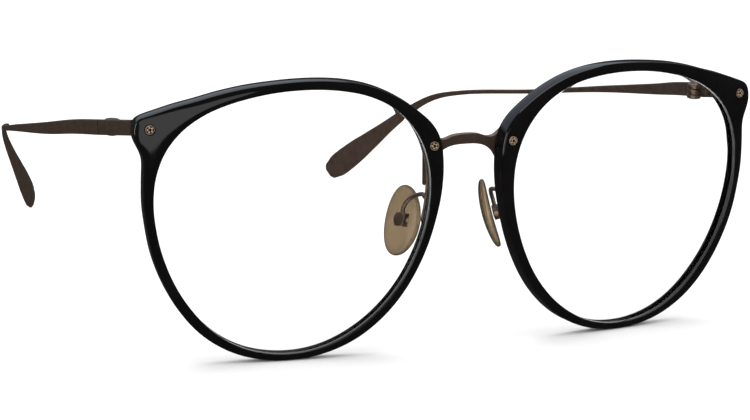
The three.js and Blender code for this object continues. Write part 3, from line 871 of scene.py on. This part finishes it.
def bar_shell():
    """The bar over the nose: rounded sections between its lower and its upper edge."""
    edges = [
        spline([(-x, z) for x, z in reversed(half[1:])] + half, BRIDGE_STEPS)
        for half in (BRIDGE_LOW, BRIDGE_HIGH)
    ]
    front = BRIDGE_BACK - BRIDGE_THICKNESS
    rings = []
    for low, high in zip(*edges):
        across = (high - low) / np.linalg.norm(high - low)
        ring = []
        for place, inwards, y, deeper in (
            (low, 1, front, 1), (low, 1, BRIDGE_BACK, -1),
            (high, -1, BRIDGE_BACK, -1), (high, -1, front, 1),
        ):
            turns = quarter_turn(FINE_CORNER)
            if inwards == deeper:
                turns.reverse()
            for a in turns:
                x, z = place + across * inwards * BRIDGE_ROUND * (1 - math.cos(a))
                ring.append((x, y + deeper * BRIDGE_ROUND * (1 - math.sin(a)), z))
        rings.append(ring)
    return faced_out(skin(rings))


def bridge():
    """The bar and the two plates it ends in, behind the rims."""
    strap = strap_shell(**NOSE_PLATE)
    other = faced_out(moved(strap, MIRROR))
    piece = as_object("bridge_bar", *merged(bar_shell(), strap, other), FRONT)
    dress(piece, BRONZE, "front", "bronze", "bridge")


def blade_frame():
    """The frame of a blade at its seam: Y runs back along it and X points outwards."""
    side = BLADE_DIRECTION.cross(Vector((0, 0, 1))).normalized()
    up = side.cross(BLADE_DIRECTION)
    turn = Matrix((side, BLADE_DIRECTION, up)).transposed().to_4x4()
    return Matrix.Translation(BLADE_START) @ turn


def endpiece(side, matrix):
    """The wing-shaped plate behind the rim and the arm that runs from it to the hinge."""
    end = BLADE_START - BLADE_DIRECTION * SEAM / 2
    start = end - BLADE_DIRECTION * ENDPIECE_LENGTH
    line = [start.lerp(end, k / ENDPIECE_STEPS) for k in range(ENDPIECE_STEPS + 1)]
    arm = grown(
        f"end_arm_{side}", curve_object("arm_line", line), ARM_TREE, Matrix.Identity(4),
        thickness=BLADE_THICKNESS, end_thickness=BLADE_THICKNESS,
        squareness=BLADE_SQUARENESS, material=BRONZE,
    )
    shell = ([v.co.copy() for v in arm.data.vertices], [list(p.vertices) for p in arm.data.polygons])
    bpy.data.objects.remove(arm)
    strap = strap_shell(**WING_PLATE)
    piece = as_object(f"end_piece_{side}", *merged(faced_out(shell), strap), FRONT @ matrix)
    dress(piece, BRONZE, "front", "bronze", f"endpiece_{side}")


def at_hinge(radius, low, high):
    """A round plate on the hinge's axis, between two heights from its middle."""
    return moved(disc(radius, low, high, edge=0.1), Matrix.Translation(HINGE))


def leaf_shell(start, end, height):
    """A plate on the inner side of the blade, between two distances behind the seam."""
    inwards = -(BLADE_THICKNESS / 2 + SEAM + LEAF_THICKNESS / 2)
    plate = block((LEAF_THICKNESS, end - start, height), (inwards, (start + end) / 2, 0), edge=0.1)
    return moved(plate, blade_frame())


def hinge(side, matrix):
    """The two outer knuckles, the eye between them and the screw through all three."""
    top, half = BARREL_HEIGHT / 2, EYE_HEIGHT / 2
    gap = half + LENS_GAP
    fork = merged(
        at_hinge(BARREL_RADIUS, -top, -gap),
        at_hinge(BARREL_RADIUS, gap, top),
        leaf_shell(-LEAF_END, -FORK_LEAF_START, LEAF_HEIGHT),
        leaf_shell(-FORK_TONGUE_END, -TONGUE_START, LEAF_HEIGHT / 3),
    )
    eye = merged(
        at_hinge(BARREL_RADIUS, -half, half),
        leaf_shell(TONGUE_START, EYE_TONGUE_END, EYE_HEIGHT),
        leaf_shell(EYE_LEAF_START, LEAF_END, LEAF_HEIGHT),
    )
    screw = merged(
        at_hinge(HINGE_PIN_RADIUS, -top - HINGE_PIN_DROP, top - HINGE_PIN_DROP),
        at_hinge(HINGE_HEAD_RADIUS, -top - HINGE_HEAD_LOW, -top + HINGE_HEAD_HIGH),
    )
    place = FRONT @ matrix
    knuckles = as_object(f"hinge_knuckles_{side}", *fork, place)
    dress(knuckles, BRONZE, "front", "bronze", f"hinge_fork_{side}")
    eye_plate = as_object(f"hinge_eye_plate_{side}", *eye, place)
    dress(eye_plate, BRONZE, f"temple_{side}_body", "bronze", f"hinge_eye_{side}")
    pin = as_object(f"hinge_pin_{side}", *screw, place)
    dress(pin, GOLD, "front", "gold", f"hinge_screw_{side}")


def temple(side, matrix):
    """The blade from its seam to the tip, swept along evenly spaced points."""
    start = BLADE_START + BLADE_DIRECTION * SEAM / 2
    line = spline([tuple(start)] + TEMPLE_LINE, TEMPLE_SAMPLES)
    steps = np.concatenate([[0], np.cumsum(np.linalg.norm(np.diff(line, axis=0), axis=1))])
    even = np.linspace(0, steps[-1], TEMPLE_STEPS)
    points = [tuple(np.interp(s, steps, line[:, i]) for i in range(3)) for s in even]
    seam = Matrix.Translation(BLADE_START)
    lifted = seam @ Matrix.Rotation(TEMPLE_LIFT[side], 4, "X") @ seam.inverted()
    piece = grown(
        f"temple_blade_{side}", curve_object("temple_line", points), TEMPLE_TREE,
        FRONT @ matrix @ lifted, thickness=BLADE_THICKNESS, end_thickness=TIP_THICKNESS,
        squareness=BLADE_SQUARENESS, material=BRONZE,
    )
    dress(piece, BRONZE, f"temple_{side}_body", "bronze", f"temple_{side}")


# ---- Nose pads ----

PAD_FRAME = Matrix.Translation(PAD_CENTRE) @ (
    Matrix((PAD_AXIS.cross(PAD_NORMAL), PAD_AXIS, PAD_NORMAL)).transposed().to_4x4()
)


def pad_shell():
    """A flattened drop that bows towards the nose."""
    rings = []
    for k in range(1, PAD_ROUNDS):
        tilt = math.pi * k / PAD_ROUNDS
        flat, rise = math.sin(tilt), math.cos(tilt)
        ring = []
        for i in range(PAD_SIDES):
            a = 2 * math.pi * i / PAD_SIDES
            x, y = flat * math.cos(a), flat * math.sin(a)
            half = math.copysign(abs(rise) ** PAD_FULLNESS, rise) * PAD_THICKNESS / 2
            width = PAD_WIDTH * (1 - PAD_TAPER * y) / 2
            ring.append((x * width, y * PAD_LENGTH / 2, half - PAD_BOW * (1 - y * y)))
        rings.append(ring)
    return faced_out(skin(rings))


def across_box(shell):
    """Turns a shell about Z into one about the pad's pin, which runs across the box."""
    x, y = BOX_PLACE
    place = Matrix.Translation((x, y, PAD_PIN_DEPTH)) @ Matrix.Rotation(math.pi / 2, 4, "Y")
    return moved(shell, place)


def nose_pad(side, matrix):
    """The soft pad, and the metal button and lug set in its back."""
    place = FRONT @ matrix @ PAD_FRAME
    body = f"pad_{side}_body"
    pad = as_object(f"soft_pad_{side}", *pad_shell(), place)
    dress(pad, PAD, body, "pad", f"nose_pad_{side}")
    x, y = BOX_PLACE
    button = disc(BUTTON_RADIUS, PAD_BACK, PAD_BACK + BUTTON_THICKNESS, BUTTON_EDGE)
    low, high = PAD_BACK + LUG_FOOT, PAD_PIN_DEPTH + LUG_PAST_PIN
    stud = merged(
        moved(button, Matrix.Translation((x, y, 0))),
        block((LUG_WIDTH, LUG_HEIGHT, high - low), (x, y, (high + low) / 2)),
    )
    dress(as_object(f"pad_stud_{side}", *stud, place), BRONZE, body, "bronze", f"pad_button_{side}")


def pad_box(side, matrix):
    """The two cheeks with their round cover, and the pin through them."""
    place = FRONT @ matrix @ PAD_FRAME
    x, y = BOX_PLACE
    cheek = (LUG_WIDTH + CHEEK_THICKNESS) / 2 + LENS_GAP
    size = (CHEEK_THICKNESS, BOX_HEIGHT, BOX_BACK - BOX_FRONT)
    middle = (BOX_FRONT + BOX_BACK) / 2
    cover = disc(BOX_COVER_RADIUS, BOX_BACK, BOX_BACK + BOX_COVER, BOX_EDGE)
    box = merged(
        block(size, (x - cheek, y, middle), BOX_EDGE),
        block(size, (x + cheek, y, middle), BOX_EDGE),
        moved(cover, Matrix.Translation((x, y, -BOX_COVER_SINK))),
    )
    dress(as_object(f"pad_cup_{side}", *box, place), BRONZE, "front", "bronze", f"pad_box_{side}")
    out = LUG_WIDTH / 2 + LENS_GAP + CHEEK_THICKNESS
    pin = merged(
        disc(PAD_PIN_RADIUS, -out - PAD_PIN_PAST, out),
        disc(PAD_HEAD_RADIUS, -out - PAD_HEAD_FAR, -out - PAD_HEAD_NEAR, edge=0.1),
    )
    screw = as_object(f"pad_pin_{side}", *across_box(pin), place)
    dress(screw, GOLD, "front", "gold", f"pad_screw_{side}")


def pad_arm(side, matrix):
    """The bent wire from the bridge's plate to the top of the box."""
    x, y = BOX_PLACE
    top = y + BOX_HEIGHT / 2
    depth = (BOX_FRONT + BOX_BACK) / 2
    ends = [tuple(PAD_FRAME @ Vector((x, top + above, depth))) for above in PAD_ARM_ENDS]
    line = curve_object("arm_line", spline(PAD_ARM_LINE + ends, PAD_ARM_STEPS))
    wire = {"radius": PAD_ARM_RADIUS, "material": BRONZE}
    piece = grown(f"arm_wire_{side}", line, WIRE, FRONT @ matrix, **wire)
    dress(piece, BRONZE, "front", "bronze", f"pad_arm_{side}")


TEMPLE_TREE = blade_tree("temple_blade", TEMPLE_HEIGHTS, BRONZE)
ARM_TREE = blade_tree("end_arm", [(0, BLADE_HEIGHT), (0.5, BLADE_HEIGHT), (1, BLADE_HEIGHT)], BRONZE)
WIRE = wire_tree(BRONZE)
LOBED = lobed_tree(GOLD)

bridge()
for side, matrix in SIDES.items():
    rim_piece(side, matrix)
    lens = as_object(f"clear_lens_{side}", *lens_shell(), FRONT @ matrix)
    dress(lens, GLASS, "front", "lens", f"lens_{side}")
    rim_screws(side, matrix)
    endpiece(side, matrix)
    hinge(side, matrix)
    temple(side, matrix)
    nose_pad(side, matrix)
    pad_box(side, matrix)
    pad_arm(side, matrix)

# ---- Studio ----

WHITE = (1, 1, 1, 1)
# Seen only in reflections.
DARK_ROOM = (0.06, 0.056, 0.054, 1)
BRIGHT_WALL = (0.6, 0.68, 0.78, 1)
DARK_FLOOR = (0.05, 0.046, 0.044, 1)
# In metres, as all of the studio but the camera's place.
FLOOR_HALF = 3
LIT_PLACE = Vector((0, 0, 0.03))


def product(nodes, links, a, b):
    """The product of two outputs."""
    both = nodes.new("ShaderNodeMath")
    both.operation = "MULTIPLY"
    links.new(a, both.inputs[0])
    links.new(b, both.inputs[1])
    return both.outputs[0]


def mirrored(nodes, links):
    """1 for rays that a glossy surface throws back, and 0 for all others."""
    path = nodes.new("ShaderNodeLightPath")
    return product(nodes, links, path.outputs["Is Glossy Ray"], path.outputs["Is Reflection Ray"])


def mixed(nodes, links, factor, a, b):
    """A mix of two colours, of which the second may be an output."""
    mix = nodes.new("ShaderNodeMix")
    mix.data_type = "RGBA"
    mix.inputs["A"].default_value = a
    links.new(factor, mix.inputs["Factor"])
    if isinstance(b, bpy.types.NodeSocket):
        links.new(b, mix.inputs["B"])
    else:
        mix.inputs["B"].default_value = b
    return mix.outputs["Result"]


def surroundings():
    """White to the camera. Glossy pieces see a dark room in front and a bright wall behind."""
    world = bpy.data.worlds.new("studio")
    bpy.context.scene.world = world
    world.use_nodes = True
    world.cycles.sampling_method = "NONE"
    nodes, links = world.node_tree.nodes, world.node_tree.links
    place = nodes.new("ShaderNodeTexCoord")
    parts = nodes.new("ShaderNodeSeparateXYZ")
    links.new(place.outputs["Generated"], parts.inputs[0])
    inside = []
    for axis, start, full in (("Y", 0.3, 0.6), ("Z", 0.24, 0.4)):
        edge = nodes.new("ShaderNodeMapRange")
        edge.interpolation_type = "SMOOTHSTEP"
        edge.inputs["From Min"].default_value = start
        edge.inputs["From Max"].default_value = full
        links.new(parts.outputs[axis], edge.inputs["Value"])
        inside.append(edge.outputs["Result"])
    room = mixed(nodes, links, product(nodes, links, *inside), DARK_ROOM, BRIGHT_WALL)
    seen = mixed(nodes, links, mirrored(nodes, links), WHITE, room)
    links.new(seen, nodes["Background"].inputs["Color"])


def floor():
    """A white sheet that looks dark in reflections."""
    h = FLOOR_HALF
    corners = [(-h, -h, 0), (h, -h, 0), (h, h, 0), (-h, h, 0)]
    sheet = as_object("floor", corners, [(0, 1, 2, 3)], Matrix.Identity(4))
    white = bpy.data.materials.new("pale_floor")
    white.use_nodes = True
    nodes, links = white.node_tree.nodes, white.node_tree.links
    paper = nodes["Principled BSDF"]
    paper.inputs["Base Color"].default_value = (0.95, 0.95, 0.95, 1)
    paper.inputs["Roughness"].default_value = 0.9
    paper.inputs["Specular IOR Level"].default_value = 0.1
    shade = nodes.new("ShaderNodeEmission")
    shade.inputs["Color"].default_value = DARK_FLOOR
    either = nodes.new("ShaderNodeMixShader")
    links.new(mirrored(nodes, links), either.inputs[0])
    links.new(paper.outputs[0], either.inputs[1])
    links.new(shade.outputs[0], either.inputs[2])
    links.new(either.outputs[0], nodes["Material Output"].inputs["Surface"])
    sheet.data.materials.append(white)


def area_light(name, size, energy, place):
    """A rectangular light that faces the glasses and can't be seen itself."""
    lamp = bpy.data.lights.new(name, "AREA")
    lamp.shape, lamp.energy = "RECTANGLE", energy
    lamp.size, lamp.size_y = size
    made = bpy.data.objects.new(name, lamp)
    turn = (LIT_PLACE - Vector(place)).to_track_quat("-Z", "Y").to_matrix().to_4x4()
    made.matrix_world = Matrix.Translation(place) @ turn
    made.visible_camera = False
    made.visible_transmission = False
    bpy.context.scene.collection.objects.link(made)
    return made


def studio():
    """The surroundings, the floor, one overhead light and two cards seen only in reflections."""
    surroundings()
    floor()
    area_light("overhead", (1.2, 1.2), 8, (0, 0, 1.2))
    front = area_light("front_card", (0.2, 0.24), 0.16, (-0.135, -0.42, 0.0))
    side = area_light("side_card", (0.2, 0.3), 0.75, (-0.42, -0.19, 0.06))
    front.visible_diffuse = side.visible_diffuse = False
    bpy.context.scene.view_settings.view_transform = "Standard"


# The camera's angles, and its place in millimetres: along its line of view, beside it and above it.
AZIMUTH = math.radians(-24.853)
ELEVATION = math.radians(14.896)
ROLL = math.radians(2.417)
CAMERA_PLACE = (-573.967, -17.942, 0.822)
FOCAL_LENGTH = 145.65
SENSOR_WIDTH = 36
NEAREST = 0.01


def camera():
    """A camera in the front's own frame, which leans with it."""
    flat = math.cos(ELEVATION)
    ahead = Vector((-math.sin(AZIMUTH) * flat, math.cos(AZIMUTH) * flat, -math.sin(ELEVATION)))
    across = Vector((math.cos(AZIMUTH), math.sin(AZIMUTH), 0))
    up = across.cross(ahead)
    right = across * math.cos(ROLL) + up * math.sin(ROLL)
    top = up * math.cos(ROLL) - across * math.sin(ROLL)
    along, beside, above = CAMERA_PLACE
    place = ahead * along + right * beside + top * above
    data = bpy.data.cameras.new("camera")
    data.lens = FOCAL_LENGTH
    data.sensor_width = SENSOR_WIDTH
    data.clip_start = NEAREST
    view = bpy.data.objects.new("camera", data)
    bpy.context.scene.collection.objects.link(view)
    turn = (LEANING.to_3x3() @ Matrix((right, top, -ahead)).transposed()).to_4x4()
    view.matrix_world = Matrix.Translation(FRONT @ place) @ turn
    bpy.context.scene.camera = view


studio()
camera()
